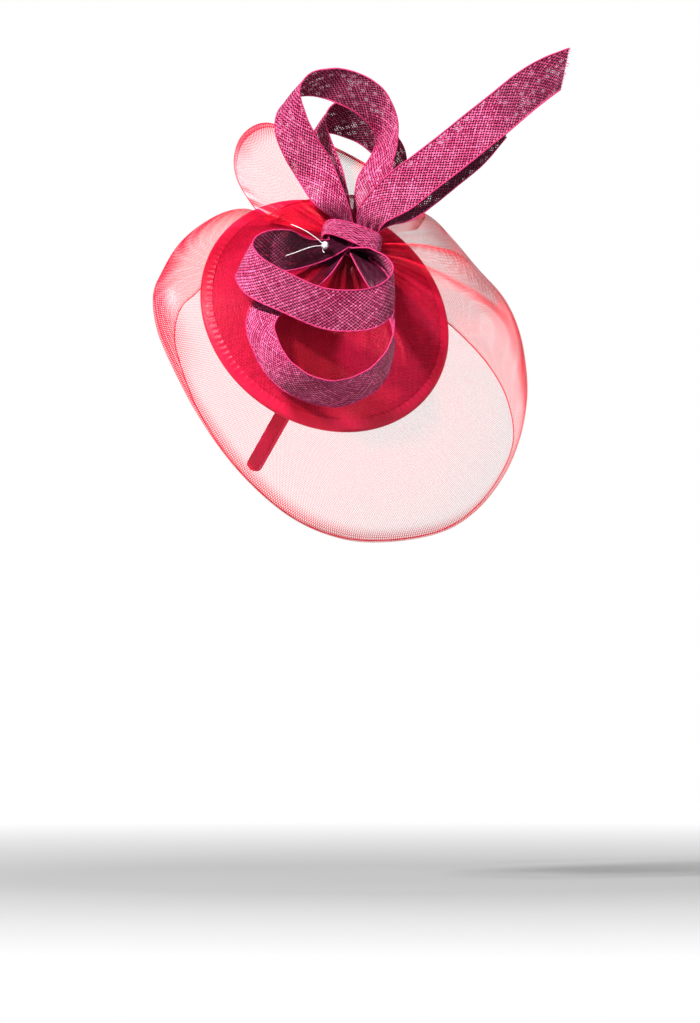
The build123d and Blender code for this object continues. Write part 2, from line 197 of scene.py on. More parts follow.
def joined(name, parts, finish):
    """One piece from several grids that are closed around."""
    verts, faces, cloth, start = [], [], [], 0
    for shape, flat in parts:
        rows, columns = shape.shape[:2]
        faces.append(quads(rows, columns, columns) + start)
        verts.append(shape.reshape(-1, 3))
        cloth.append(flat.reshape(-1, 3))
        start += rows * columns
    return cloth_mesh(name, np.vstack(verts), np.vstack(faces), np.vstack(cloth), finish)


def twisted(points, radius, lay, strands=2, around=5):
    """Strands laid round each other along a line: radius of a strand, and length of one full twist."""
    a, b = frames_along(points)
    along = travelled(points)
    made = []
    for k in range(strands):
        turn = along / lay * math.tau + k * math.tau / strands
        offset = (a * np.cos(turn)[:, None] + b * np.sin(turn)[:, None]) * radius * 0.85
        made.append(tube(points + offset, radius, around))
    return made


def even(points, step):
    """The same line with its points a set step apart."""
    along = travelled(points)
    count = max(int(along[-1] / step), 2)
    places = np.linspace(0, along[-1], count + 1)
    return np.stack([np.interp(places, along, points[:, i]) for i in range(3)], 1)


def edging(name, lines, step, radius, lay, finish):
    """Twisted threads along some lines, as one piece."""
    strands = [strand for line in lines for strand in twisted(even(line, step), radius, lay)]
    return joined(name, strands, finish)


# %% [markdown]
# ## Camera and light
#
# The piece is seen level from the wearer's right, from far enough away that the view is nearly flat. A soft
# lamp high on the left is the key. The world is white round the horizon, like a studio wall, and dark
# overhead, so that the undersides and the insides of the loops fall into shade.

# %% Camera
# The view is 634 mm tall on a plane that lies 90 mm to the wearer's right.
view_distance, sensor = 6.0, 36
view_height, scale_plane = 0.634, 0.09
aim = vec(-22.9 * mm, 0, -175.8 * mm)
lens_data = bpy.data.cameras.new("camera")
lens_data.sensor_width = sensor
lens_data.lens = sensor * (view_distance - scale_plane) / view_height
lens_data.clip_end = 20
camera = placed("camera", lens_data)
camera.location = (aim[0], aim[1] - view_distance, aim[2])
camera.rotation_euler = (math.radians(90), 0, 0)
bpy.context.scene.camera = camera
print("lens", round(lens_data.lens, 1))


# %% Lamps and world
def lamp(name, place, size, power):
    data = bpy.data.lights.new(name, "AREA")
    data.shape = "DISK"
    data.size = size
    data.energy = power
    thing = placed(name, data)
    thing.location = place
    thing.rotation_euler = (Vector(aim) - Vector(place)).to_track_quat("-Z", "Y").to_euler()


lamp("key", (-1.2, -1.5, 1.7), 0.30, 200)
lamp("fill", (1.5, -1.6, 0.4), 1.2, 10)
world = bpy.data.worlds.new("studio")
world.use_nodes = True
tree = world.node_tree
sky = tree.nodes["Background"]
height = tree.nodes.new("ShaderNodeSeparateXYZ")
place = tree.nodes.new("ShaderNodeTexCoord")
fall = tree.nodes.new("ShaderNodeMapRange")
for key, value in {"From Min": 0.12, "From Max": 0.24, "To Min": 1.0, "To Max": 0.10}.items():
    fall.inputs[key].default_value = value
tree.links.new(place.outputs["Generated"], height.inputs[0])
tree.links.new(height.outputs["Z"], fall.inputs["Value"])
tree.links.new(fall.outputs["Result"], sky.inputs["Color"])
sky.inputs["Strength"].default_value = 1.0
bpy.context.scene.world = world
bpy.context.scene.view_settings.view_transform = "Standard"


# %% [markdown]
# ## Finishes
#
# Shader maths reads best as plain expressions. `Val` wraps a socket, and adding or multiplying it adds a Math
# node. `Finish` makes one material, and its `node` method adds any other node from its type, settings and
# inputs. Weaves are drawn from the cloth's own two directions, so they bend and bunch with it.

# %% Expressions on sockets
class Val:
    """A number on a node's output, for use in plain expressions."""

    def __init__(self, tree, socket):
        self.tree = tree
        self.socket = socket

    def math(self, operation, *values):
        node = self.tree.nodes.new("ShaderNodeMath")
        node.operation = operation
        for place, value in zip(node.inputs, values):
            if isinstance(value, Val):
                self.tree.links.new(value.socket, place)
            else:
                place.default_value = value
        return Val(self.tree, node.outputs[0])

    def __add__(self, other):
        return self.math("ADD", self, other)

    def __sub__(self, other):
        return self.math("SUBTRACT", self, other)

    def __rsub__(self, other):
        return self.math("SUBTRACT", other, self)

    def __mul__(self, other):
        return self.math("MULTIPLY", self, other)

    def __truediv__(self, other):
        return self.math("DIVIDE", self, other)

    def fraction(self):
        return self.math("FRACT", self)

    def whole(self):
        return self.math("FLOOR", self)

    def size(self):
        return self.math("ABSOLUTE", self)

    def larger(self, other):
        return self.math("MAXIMUM", self, other)

    def smaller(self, other):
        return self.math("MINIMUM", self, other)

    def sine(self):
        return self.math("SINE", self)

    def ramp(self, low, high):
        """0 to 1 between two values, held at the ends."""
        return ((self - low) / (high - low)).smaller(1).larger(0)


class Finish:
    """One material, built from a principled shader."""

    def __init__(self, name, **settings):
        self.made = bpy.data.materials.new(name)
        self.made.use_nodes = True
        self.tree = self.made.node_tree
        self.shader = self.tree.nodes["Principled BSDF"]
        for key, value in settings.items():
            self.shader.inputs[key.replace("_", " ")].default_value = value

    def node(self, kind, settings=None, inputs=None, output=0):
        node = self.tree.nodes.new(kind)
        for key, value in (settings or {}).items():
            setattr(node, key, value)
        for key, value in (inputs or {}).items():
            place = node.inputs[key]
            if isinstance(value, Val):
                self.tree.links.new(value.socket, place)
            else:
                place.default_value = value
        return Val(self.tree, node.outputs[output])

    def cloth(self):
        """The three numbers of the cloth attribute."""
        place = self.node("ShaderNodeAttribute", {"attribute_name": "cloth"}, output=1)
        parts = self.tree.nodes.new("ShaderNodeSeparateXYZ")
        self.tree.links.new(place.socket, parts.inputs[0])
        return [Val(self.tree, parts.outputs[i]) for i in range(3)]

    def depth(self):
        """How much painted shade darkens the point, from 0 to 1; 0 where the cloth has no such number."""
        return self.node("ShaderNodeAttribute", {"attribute_name": "depth"}, output=2)

    def noise(self, scale, detail=2.0, rough=0.5):
        place = self.node("ShaderNodeTexCoord", output=3)
        return self.node("ShaderNodeTexNoise", {}, {"Vector": place, "Scale": scale, "Detail": detail,
                                                    "Roughness": rough})

    def speckle(self, value):
        """A steady random number for each whole value."""
        return self.node("ShaderNodeTexWhiteNoise", {"noise_dimensions": "1D"}, {"W": value})

    def mix(self, share, first, second):
        return self.node("ShaderNodeMix", {"data_type": "RGBA"}, {0: share, 6: first, 7: second}, output=2)

    def feed(self, **links):
        for key, value in links.items():
            self.tree.links.new(value.socket, self.shader.inputs[key.replace("_", " ")])
        return self

    def bump(self, height, distance, strength=1.0):
        normal = self.node("ShaderNodeBump", {}, {"Height": height, "Distance": distance,
                                                  "Strength": strength})
        return self.feed(Normal=normal)


# %% [markdown]
# ### Sinamay
#
# Sinamay is an open cloth of stiff banana fibre. Cut on the bias its threads run both ways across the strip
# and cross in small diamonds. Each family of threads is a stripe in `across + along` or `across - along`.
# Threads differ a little in thickness and in how much dye they took, and they pass over and under in turn.
# Each thread is painted darker where it dips under the other, as painted shade. The gaps are painted
# shade too, and some crossings carry a painted highlight.

# %% Sinamay weave
def sinamay(name, light, deep, gap, pitch=1.65 * mm, pinholes=0.09):
    f = Finish(name, Roughness=0.45, Specular_IOR_Level=0.14)
    across, along, _ = f.cloth()
    wander = (f.noise(90, 2) - 0.5) * (0.9 * mm)
    one = (across * 0.80 + along * 0.60 + wander) / pitch
    two = (across * 0.80 - along * 0.60 + wander) / pitch
    tint_one, tint_two = f.speckle(one.whole()), f.speckle(two.whole() + 57)
    off_one = (one.fraction() - 0.5).size() * 2
    off_two = (two.fraction() - 0.5).size() * 2
    wide_one, wide_two = tint_one * 0.22 + 0.38, tint_two * 0.22 + 0.38
    cover_one = 1 - (off_one - wide_one).ramp(-0.14, 0.14)
    cover_two = 1 - (off_two - wide_two).ramp(-0.14, 0.14)
    turn = ((one.whole() + two.whole()) * 0.5).fraction() * 2
    first_on_top = cover_one * turn
    second_on_top = cover_two * (1 - turn)
    top = first_on_top.larger(second_on_top)
    thread = cover_one.larger(cover_two)
    tint = tint_one * cover_one * turn + tint_two * cover_two * (1 - turn)
    patch = f.noise(45, 3).ramp(0.35, 0.65)
    chance = f.speckle(one.whole() * 0.37 + two.whole() * 1.91)
    # Yarn tone: dye tint and patches, plus painted highlight glints where chance squared lifts a crossing
    # towards the light colour.
    yarn = f.mix(tint * 0.30 + patch * 0.20 + chance * chance * 0.50, deep, light)
    # Painted shade: a thread is darkened towards the gap colour where it dips under, and the gaps are the
    # dark gap colour.
    lit = f.mix(top * 0.75 + 0.25, gap, yarn)
    colour = f.mix(thread, gap, lit)
    # Painted shade: the depth attribute darkens the cloth towards the gap colour.
    colour = f.mix(f.depth(), colour, gap)
    hole = (1 - thread).ramp(0.55, 0.95) * (chance - (1 - pinholes)).ramp(0, 0.02)
    f.feed(Base_Color=colour, Alpha=1 - hole)
    return f.bump(top + thread * 0.5, 0.6 * mm, 1.0).made


# The pale light colours are partly dye and partly painted highlight on the threads; the dark gap colours are
# painted shade.
strip_cloth = sinamay("sinamay_strip", (1.0, 0.21, 0.44, 1), (0.46, 0.004, 0.085, 1), (0.02, 0.0, 0.006, 1))
base_cloth = sinamay("sinamay_base", (0.86, 0.012, 0.09, 1), (0.50, 0.003, 0.04, 1), (0.20, 0.0, 0.016, 1),
                     pitch=0.9 * mm, pinholes=0.0)

# %% [markdown]
# ### Crinoline
#
# Crinoline, once horsehair and now nylon, is a braid of fine threads that cross on the slant. The cover is
# thin where the cloth lies open. It closes up where the cloth is bunched, so the third number of the cloth
# attribute tells how many times closer the threads lie than in the flat braid.

# %% Crinoline mesh
def crinoline(name, colour, deep, pitch=1.15 * mm, share=0.062):
    f = Finish(name, Roughness=0.35, Specular_IOR_Level=0.25)
    along, across, crowd = f.cloth()
    one = (along * 0.9 + across * 0.62) / pitch
    two = (along * 0.9 - across * 0.62) / pitch
    wide, edge = crowd * share, 0.10
    off_one = (one.fraction() - 0.5).size() * 2
    off_two = (two.fraction() - 0.5).size() * 2
    cover_one = (1 - (off_one - wide) / edge).smaller(1).larger(0)
    cover_two = (1 - (off_two - wide) / edge).smaller(1).larger(0)
    cover = cover_one.larger(cover_two)
    thread_tint = f.speckle(one.whole()) * 0.5 + f.speckle(two.whole() + 31) * 0.5
    shade = f.mix(thread_tint * 0.5 + f.noise(60, 2).ramp(0.3, 0.7) * 0.5, deep, colour)
    # Painted shade: the depth attribute darkens the threads towards near black.
    shade = f.mix(f.depth(), shade, (0.03, 0.0, 0.004, 1))
    f.feed(Base_Color=shade, Alpha=cover)
    return f.bump(cover, 0.2 * mm, 0.5).made


crin_cloth = crinoline("crinoline_mesh", (0.92, 0.006, 0.035, 1), (0.66, 0.002, 0.022, 1))

# %% [markdown]
# ### Satin, felt, thread and the hidden parts
#
# The headband is covered in satin ribbon, whose fine warp runs along it. The lining is a close plain cloth,
# the pad is wool felt, and the stiffener, wire and spring core are inside, with simple finishes of their own.

# %% Satin
def satin(name, light, deep):
    f = Finish(name, Roughness=0.34, Specular_IOR_Level=0.25)
    across, along, _ = f.cloth()
    warp = (across * (math.tau / (0.35 * mm))).sine() * 0.5 + 0.5
    weft = (along * (math.tau / (0.8 * mm))).sine() * 0.5 + 0.5
    rub = f.noise(120, 3).ramp(0.3, 0.75)
    f.feed(Base_Color=f.mix(rub * 0.6 + warp * 0.4, deep, light), Roughness=rub * 0.15 + 0.28)
    return f.bump(warp * 0.7 + weft * 0.3, 0.12 * mm, 0.5).made


band_satin = satin("satin_ribbon", (0.34, 0.004, 0.042, 1), (0.21, 0.001, 0.020, 1))


# %% Felt, lining and thread
def felt(name, colour, deep):
    f = Finish(name, Roughness=0.95, Specular_IOR_Level=0.1)
    fuzz = f.noise(900, 5, 0.7)
    tuft = f.noise(180, 3)
    f.feed(Base_Color=f.mix(fuzz * 0.6 + tuft * 0.4, deep, colour))
    return f.bump(fuzz + tuft, 0.4 * mm, 0.8).made


def plain_weave(name, colour, deep, pitch=0.5 * mm):
    f = Finish(name, Roughness=0.7, Specular_IOR_Level=0.15)
    across, along, _ = f.cloth()
    warp = (across * (math.tau / pitch)).sine()
    weft = (along * (math.tau / pitch)).sine()
    cross = warp * weft * 0.5 + 0.5
    f.feed(Base_Color=f.mix(cross * 0.6 + f.noise(70, 3) * 0.4, deep, colour))
    return f.bump(cross, 0.15 * mm, 0.7).made


def thread(name, colour, deep, lay=1.2 * mm):
    f = Finish(name, Roughness=0.5, Specular_IOR_Level=0.15)
    around, along, _ = f.cloth()
    ply = ((along + around * 1.5) * (math.tau / lay)).sine() * 0.5 + 0.5
    f.feed(Base_Color=f.mix(ply * 0.7 + f.noise(300, 2) * 0.3, deep, colour))
    return f.bump(ply, 0.15 * mm, 0.8).made


def solid_finish(name, colour, deep, roughness, metallic, grain, depth):
    f = Finish(name, Roughness=roughness, Metallic=metallic)
    mark = f.noise(grain, 4, 0.6)
    f.feed(Base_Color=f.mix(mark, deep, colour), Roughness=mark * 0.2 + (roughness - 0.1))
    return f.bump(mark, depth, 0.6).made


rim_satin = satin("rim_ribbon", (0.58, 0.007, 0.055, 1), (0.42, 0.003, 0.034, 1))
pad_felt = felt("wool_felt", (0.42, 0.006, 0.05, 1), (0.25, 0.002, 0.025, 1))
lining_cloth = plain_weave("lining_cloth", (0.50, 0.008, 0.06, 1), (0.30, 0.003, 0.03, 1))
strip_thread = thread("sinamay_edge_thread", (0.72, 0.05, 0.20, 1), (0.20, 0.002, 0.035, 1), 2.0 * mm)
crin_thread = thread("crinoline_edge_thread", (0.90, 0.012, 0.05, 1), (0.6, 0.003, 0.02, 1))
white_thread = thread("white_thread", (0.92, 0.90, 0.90, 1), (0.70, 0.66, 0.68, 1))
red_thread = thread("red_thread", (0.60, 0.01, 0.07, 1), (0.38, 0.004, 0.03, 1))
buckram_finish = solid_finish("buckram", (0.74, 0.70, 0.62, 1), (0.55, 0.51, 0.44, 1),
                              roughness=0.8, metallic=0.0, grain=900, depth=0.2 * mm)
steel_finish = solid_finish("wire_steel", (0.62, 0.62, 0.64, 1), (0.42, 0.42, 0.44, 1),
                            roughness=0.35, metallic=1.0, grain=500, depth=0.05 * mm)
core_finish = solid_finish("spring_core", (0.06, 0.06, 0.065, 1), (0.03, 0.03, 0.035, 1),
                           roughness=0.5, metallic=0.0, grain=300, depth=0.05 * mm)
print("finishes", len(bpy.data.materials))

# %% [markdown]
# ## Pieces that keep their CAD shape
#
# The spring core, the buckram and the rim wire lie inside the cloth and have their true shape already, so
# they only need their finishes.

# %% Inner pieces
for node, finish in {
    "band_core_crown": core_finish, "band_core_left": core_finish, "band_core_right": core_finish,
    "base_buckram": buckram_finish, "base_wire": steel_finish,
}.items():
    piece = frame["nodes"][node]
    piece.data.materials.clear()
    piece.data.materials.append(finish)

# %% [markdown]
# ## Headband
#
# A flat spring core sits in a satin sleeve. The sleeve is one sheet rolled round the core, with round edges,
# drawn in at the tip, and open along its seam on the inside. It crosses the place where each arm bends, so
# each half is one mesh that is blended from the crown to its arm.

# %% Headband path
lean = math.radians(29.5)
band_up = vec(math.sin(lean), 0, math.cos(lean))
band_side = vec(math.cos(lean), 0, -math.sin(lean))
crown_radius, arm_radius, arm_drop = 70 * mm, 475 * mm, 172 * mm
band_width, band_thick = 8.7 * mm, 2.4 * mm


def band_line(side, count=150):
    """Inner-face line of one half, from the top to the tip, with the outward direction at each point."""
    tip = math.asin((arm_drop - crown_radius) / arm_radius)
    crown_length, arm_length = crown_radius * math.pi / 2, arm_radius * tip
    points, outs = [], []
    for s in np.linspace(0, crown_length + arm_length, count):
        if s < crown_length:
            a = s / crown_radius
            flat = vec(side * crown_radius * math.sin(a), crown_radius * (math.cos(a) - 1))
            out = vec(side * math.sin(a), math.cos(a))
        else:
            a = (s - crown_length) / arm_radius
            flat = vec(side * (arm_radius * math.cos(a) - arm_radius + crown_radius),
                       -crown_radius - arm_radius * math.sin(a))
            out = vec(side * math.cos(a), -math.sin(a))
        points.append(vec(0, flat[0], 0) + band_up * flat[1])
        outs.append(vec(0, out[0], 0) + band_up * out[1])
    return np.array(points), np.array(outs)


# %% Satin sleeves
def sleeve(name, side, node):
    points, outs = band_line(side)
    along = travelled(points)
    angle = np.linspace(1.5, 3.5, 41) * math.pi
    u = np.sign(np.cos(angle)) * np.abs(np.cos(angle)) ** 0.45
    v = np.sign(np.sin(angle)) * np.abs(np.sin(angle)) ** 0.8
    left = (along[-1] - along) / (band_width / 2)
    taper = np.maximum(np.sqrt(1 - np.clip(1 - left, 0, 1) ** 2), 0.02)
    wave = 1 + 0.012 * np.sin(along * 900) + 0.01 * np.sin(along * 2100 + 1)
    width = band_width / 2 * taper * wave
    thick = band_thick / 2 * np.maximum(taper, 0.35) * (1 - 0.25 * (taper < 0.05))
    seam = -0.18 * mm * (np.abs(np.abs(angle / math.pi - 2.5) - 1) < 0.03)
    shape = (points + outs * band_thick / 2)[:, None] \
        + band_side * (width[:, None] * u[None])[..., None] \
        + outs[:, None] * (thick[:, None] * v[None] - seam[None])[..., None]
    cloth = laid(shape, ((angle / math.pi - 1.5) * (band_width + band_thick))[None], along[:, None], 0)
    piece = grid(name, shape, cloth, band_satin)
    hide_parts("band_cover_crown", node)
    round(area_of(shape), 6)
    return piece


def flex_span(joint, half):
    """Two points on the band, one each side of a joint."""
    place = np.array(joint["pos_m"])
    side = 1 if place[1] > 0 else -1
    points, _ = band_line(side, 600)
    nearest = int(np.argmin(np.linalg.norm(points - place, axis=1)))
    step = travelled(points)[1]
    reach = int(half / step)
    return points[nearest - reach], points[nearest + reach]


joints = {joint["name"]: joint for joint in frame["joints"]}
for name, side, body, node, joint in (
    ("satin_sleeve_left", 1, "left_arm", "band_cover_left", "left_arm_flex"),
    ("satin_sleeve_right", -1, "right_arm", "band_cover_right", "right_arm_flex"),
):
    piece = sleeve(name, side, node)
    start, end = flex_span(joints[joint], 7 * mm)
    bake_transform(piece)
    print(name, len(piece.data.vertices))

# %% [markdown]
# ## Round base
#
# The base is a shallow dome: buckram between a sinamay cover and a lining, with a wire at the rim under a
# folded ribbon. The cover is slightly uneven where it is pulled over the edge, and the ribbon has fine
# puckers along its inner edges, where the stitches draw it in.

# %% Base frame
base_normal = unit((0.328, -0.830, 0.451))
base_x = unit(vec(0.809, 0, -0.588) - base_normal * (vec(0.809, 0, -0.588) @ base_normal))
base_y = np.cross(base_normal, base_x)
dome_radius, base_radius = 200 * mm, 79 * mm
ring_middle, knot_place = middle("base_wire"), middle("knot_wrap")
rim_tilt = math.asin(base_radius / dome_radius)
wire_rise = 1.45 * mm
cap_middle = ring_middle - base_normal * dome_radius * math.cos(rim_tilt) - base_normal * wire_rise


def on_dome(tilt, turn, height):
    """Point of the dome at a tilt from its axis, a turn round it and a height over the lining's inside."""
    flat = base_x * np.cos(turn)[..., None] + base_y * np.sin(turn)[..., None]
    ray = flat * np.sin(tilt)[..., None] + base_normal * np.cos(tilt)[..., None]
    return cap_middle + ray * (dome_radius + height)[..., None]


# %% Cover and lining
def dome_sheet(name, finish, height, node, pull):
    tilt, turn = np.meshgrid(np.linspace(0.002, rim_tilt - 0.004, 46), np.linspace(0, math.tau, 181),
                             indexing="ij")
    share = tilt / rim_tilt
    drawn = pull * share ** 6 * (0.5 + 0.5 * np.sin(turn * 46 + np.sin(turn * 5)))
    swell = 0.18 * mm * np.sin(turn * 3 + share * 4) * share * (1 - share)
    points = on_dome(tilt, turn, height + drawn + swell)
    cloth = laid(points, np.sin(tilt) * dome_radius * np.cos(turn), np.sin(tilt) * dome_radius * np.sin(turn))
    # Painted shade, as the depth attribute, darkens the sheet round a spot 26 mm below the knot.
    below = knot_place + vec(0, 0, -26) * mm
    away = np.hypot((points - below)[..., 0], (points - below)[..., 2])
    piece = grid(name, points, cloth, finish, depth=0.9 * np.exp(-(away / (27 * mm)) ** 4))
    worn(piece, "base_cloth", node)


dome_sheet("base_cover_cloth", base_cloth, 2.85 * mm, "base_cover", -0.15 * mm)
dome_sheet("base_lining_cloth", lining_cloth, 0.1 * mm, "base_lining", 0.12 * mm)

# %% Folded ribbon round the rim
turns = np.linspace(0, math.tau, 721)
fold = []
fold_reach = 5.6
for depth, height in ((fold_reach, -0.75), (4.0, -0.78), (2.0, -0.8), (0.6, -0.8), (-0.6, -0.65), (-1.5, 0.1),
                      (-1.9, 1.4), (-1.5, 2.8), (-0.6, 3.5), (0.6, 3.72), (2.0, 3.72), (4.0, 3.65),
                      (fold_reach, 3.5)):
    pucker = 0.22 * mm * np.sin(turns * 120 + 0.7 * np.sin(turns * 9)) * (max(depth, 0) / fold_reach) ** 1.5
    tilt = np.full_like(turns, rim_tilt - depth * mm / dome_radius) + pucker * 0.8 / dome_radius
    fold.append(on_dome(tilt, turns, np.full_like(turns, height * mm) + pucker))
fold = np.array(fold).transpose(1, 0, 2)
flat = laid(fold, travelled(fold[0])[None], (turns * base_radius)[:, None], 0)
edge_ribbon = grid("base_edge_ribbon", fold, flat, rim_satin)
worn(edge_ribbon, "satin", "base_binding")

# %% Felt pad and its stitches
pad_axis = unit(middle("felt_pad") - cap_middle)
pad_x = unit(np.cross(pad_axis, vec(0, 0, 1)))
pad_y = np.cross(pad_axis, pad_x)
rings = [(0.02, -0.15), (4, -0.12), (8, -0.1), (11, -0.12), (11.8, -0.3), (12.0, -0.6), (11.8, -0.95),
         (11, -1.1), (8, -1.12), (4, -1.1), (0.02, -1.1)]
turn = np.linspace(0, math.tau, 97)
pad = []
for reach, height in rings:
    wobble = 1 + 0.008 * np.sin(turn * 7) + 0.006 * np.sin(turn * 13 + 1)
    ray = pad_axis + (pad_x * np.cos(turn)[:, None] + pad_y * np.sin(turn)[:, None]) \
        * (reach * mm * wobble / dome_radius)[:, None]
    ray /= np.linalg.norm(ray, axis=1)[:, None]
    pad.append(cap_middle + ray * (dome_radius + height * mm))
pad = np.array(pad)
felt_pad = grid("felt_pad_disc", pad, laid(pad, pad[..., 0], pad[..., 1], 0), pad_felt)
worn(felt_pad, "felt", "felt_pad")

stitch_low, stitch_high = (np.array(p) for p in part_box("band_stitches"))
right_points, right_outs = band_line(-1, 900)
inside = np.all((right_points > stitch_low - 1 * mm) & (right_points < stitch_high + 1 * mm), axis=1)
places = np.nonzero(inside)[0]
loops = []
for share in (0.12, 0.36, 0.62, 0.88):
    i = places[int(share * (len(places) - 1))]
    origin, out = right_points[i], right_outs[i]
    around = np.linspace(-0.62 * math.pi, 0.62 * math.pi, 26)
    width, thick = band_width / 2 + 0.35 * mm, band_thick / 2 + 0.35 * mm
    line = origin + out * band_thick / 2 \
        + band_side * (np.sign(np.sin(around)) * np.abs(np.sin(around)) ** 0.5 * width)[:, None] \
        - out * (np.sign(np.cos(around)) * np.abs(np.cos(around)) ** 0.6 * thick)[:, None]
    loops += twisted(line, 0.16 * mm, 1.1 * mm)
stitches = joined("band_stitch_threads", loops, red_thread)
worn(stitches, "thread", "band_stitches")
print("base done")

# %% [markdown]
# ## The knot's own frame
#
# The strips and the crinoline all meet at the knot, so its middle and its three directions place them: `out`
# away from the base, `right` along the wrap, and `up` the way the upper strips leave it.

# %% Knot frame
knot = middle("knot_wrap")
knot_out = unit(knot - cap_middle)
knot_right = unit(vec(0.972, 0, -0.235) - knot_out * (vec(0.972, 0, -0.235) @ knot_out))
knot_up = np.cross(knot_out, knot_right)
print("knot", np.round(knot / mm, 1), "out", np.round(knot_out, 3))

# %% [markdown]
# ## Crinoline saucer
#
# A wide crinoline braid is gathered along one edge into the knot, and its free edge springs open into an oval
# saucer. The cloth is laid out as a fan: each ray runs from the knot, over the dome, to the rim. At the sides
# and the top the rim rolls back towards the head, and at the bottom it ends free. Pleats start at the knot
# and fade outwards. Three deeper ones, the third at half depth, run on across towards the front.

# %% Saucer frame
# Rim stations: forward and up from the knot, and how far the rim rolls back there, all in millimetres.
rim_rows = [
    (-58.2, 16.7, 30), (-69.4, 18.2, 31), (-81.8, 14.9, 32), (-96.7, 5.6, 32), (-108.4, -6.2, 30),
    (-117.1, -21.7, 27), (-122.0, -35.0, 22), (-120.2, -53.9, 15), (-112.8, -74.0, 9), (-94.2, -109.7, 3),
    (-69.4, -143.8, 2), (-38.4, -171.7, 2), (-7.4, -185.5, 2), (22.0, -188.0, 2), (54.6, -182.5, 2),
    (76.0, -170.0, 2), (93.5, -149.0, 2), (104.2, -125.2, 3), (109.0, -100.4, 11), (108.4, -79.0, 20),
    (104.2, -57.0, 30), (94.9, -37.2, 36), (78.0, -18.0, 38), (62.7, 0.6, 36), (47.8, 15.5, 32),
    (24.0, 26.0, 28), (-4.0, 29.0, 26), (-34.0, 24.0, 28), (-52.0, 15.5, 30), (-58.2, 16.7, 30),
]
rim_normal = unit((0.358, -0.848, 0.390))
rim_x = unit(vec(1, 0, 0) - rim_normal * rim_normal[0])
rim_y = np.cross(rim_normal, rim_x)
rim_middle = vec(-24.2, -93.0, -77.5) * mm
rim_rise = 34 * mm
edge_rows = through(rim_rows, 26)
forward, upward = knot[0] + edge_rows[:, 0] * mm, knot[2] + edge_rows[:, 1] * mm
across_plane = (forward - rim_middle[0]) * rim_normal[0] + (upward - rim_middle[2]) * rim_normal[2]
depth = rim_middle[1] - across_plane / rim_normal[1]
edge_points = np.stack([forward, depth, upward], 1)
edge_x, edge_y = (edge_points - rim_middle) @ rim_x, (edge_points - rim_middle) @ rim_y
back = edge_rows[:, 2] * mm
root_flat = vec((knot - rim_middle) @ rim_x, (knot - rim_middle) @ rim_y)
centre_flat = vec(edge_x.mean(), edge_y.mean())
edge_turn = np.unwrap(np.arctan2(edge_y - centre_flat[1], edge_x - centre_flat[0]))
edge_reach = np.hypot(edge_x - centre_flat[0], edge_y - centre_flat[1])
order = np.argsort(np.mod(edge_turn, math.tau))


def rim_share(x, y):
    """0 at the middle of the saucer and 1 on its rim."""
    turn = np.mod(np.arctan2(y - centre_flat[1], x - centre_flat[0]), math.tau)
    reach = np.interp(turn, np.mod(edge_turn, math.tau)[order], edge_reach[order], period=math.tau)
    return np.clip(np.hypot(x - centre_flat[0], y - centre_flat[1]) / reach, 0, 1)


def saucer_height(x, y):
    dome = rim_rise * (1 - rim_share(x, y) ** 2.2) ** 0.6
    away = np.hypot(x - root_flat[0], y - root_flat[1])
    return dome - 19 * mm * np.exp(-(away / (40 * mm)) ** 2)


# %% Saucer cloth
edge_length = travelled(edge_points)
ray_angle = np.unwrap(np.arctan2(edge_y - root_flat[1], edge_x - root_flat[0]))
lean_angle = np.degrees(np.arctan2(edge_rows[:, 1], edge_rows[:, 0]))
run = np.hypot(edge_x - root_flat[0], edge_y - root_flat[1])
pleats = (np.sin(ray_angle * 31 + 1.3 * np.sin(ray_angle * 5)) + 0.6 * np.sin(ray_angle * 53 + 2)
          + 0.5 * np.sin(ray_angle * 17 + 0.5))
fine = 0.5 + 0.5 * np.sin(ray_angle * 97 + 2 * np.sin(ray_angle * 7))
deep = sum(share * np.exp(-((lean_angle + below) / wide) ** 2)
           for share, below, wide in ((1, 14, 3.2), (0.9, 31, 3.6), (0.5, 3, 4.0)))
reach = np.concatenate([np.linspace(0.10, 0.9, 64), 0.9 + 0.1 * np.sin(np.linspace(0, math.pi / 2, 24)[1:])])
rolled = smooth(back, 3 * mm, 14 * mm)
saucer, saucer_flat, saucer_shade = [], [], []
# Painted shade, as the depth attribute, darkens the lower side of the saucer near the knot.
pocket_shade = np.clip(-np.sin(np.radians(lean_angle + 12)), 0, 1) ** 0.7
for r in reach:
    x = root_flat[0] + (edge_x - root_flat[0]) * r
    y = root_flat[1] + (edge_y - root_flat[1]) * r
    away = run * r
    fade = np.exp(-away / (42 * mm)) * (1 - smooth(r, 0.75, 1.0))
    long_fade = smooth(r, 0.12, 0.3) * (1 - smooth(r, 0.72, 0.98))
    height = saucer_height(x, y) + 1.5 * mm * pleats * fade + 3.2 * mm * deep * long_fade
    point = rim_middle + rim_x * x[:, None] + rim_y * y[:, None] + rim_normal * height[:, None]
    rim_crowd = 6.5 * rolled * smooth(r, 0.84, 1.0) ** 2 + 4.5 * (1 - rolled) * smooth(r, 0.955, 1.0) ** 2
    crowd = 1 + 0.9 / (0.25 + away / (30 * mm)) + rim_crowd \
        + (0.6 * np.maximum(pleats, 0) + 0.5 * fine) * fade + 6.0 * deep ** 3 * long_fade
    saucer.append(point)
    saucer_flat.append(np.stack([edge_length, run * (1 - r), crowd], 1))
    saucer_shade.append(0.95 * pocket_shade * np.exp(-(away / (44 * mm)) ** 4))
roll_angle = math.radians(115)
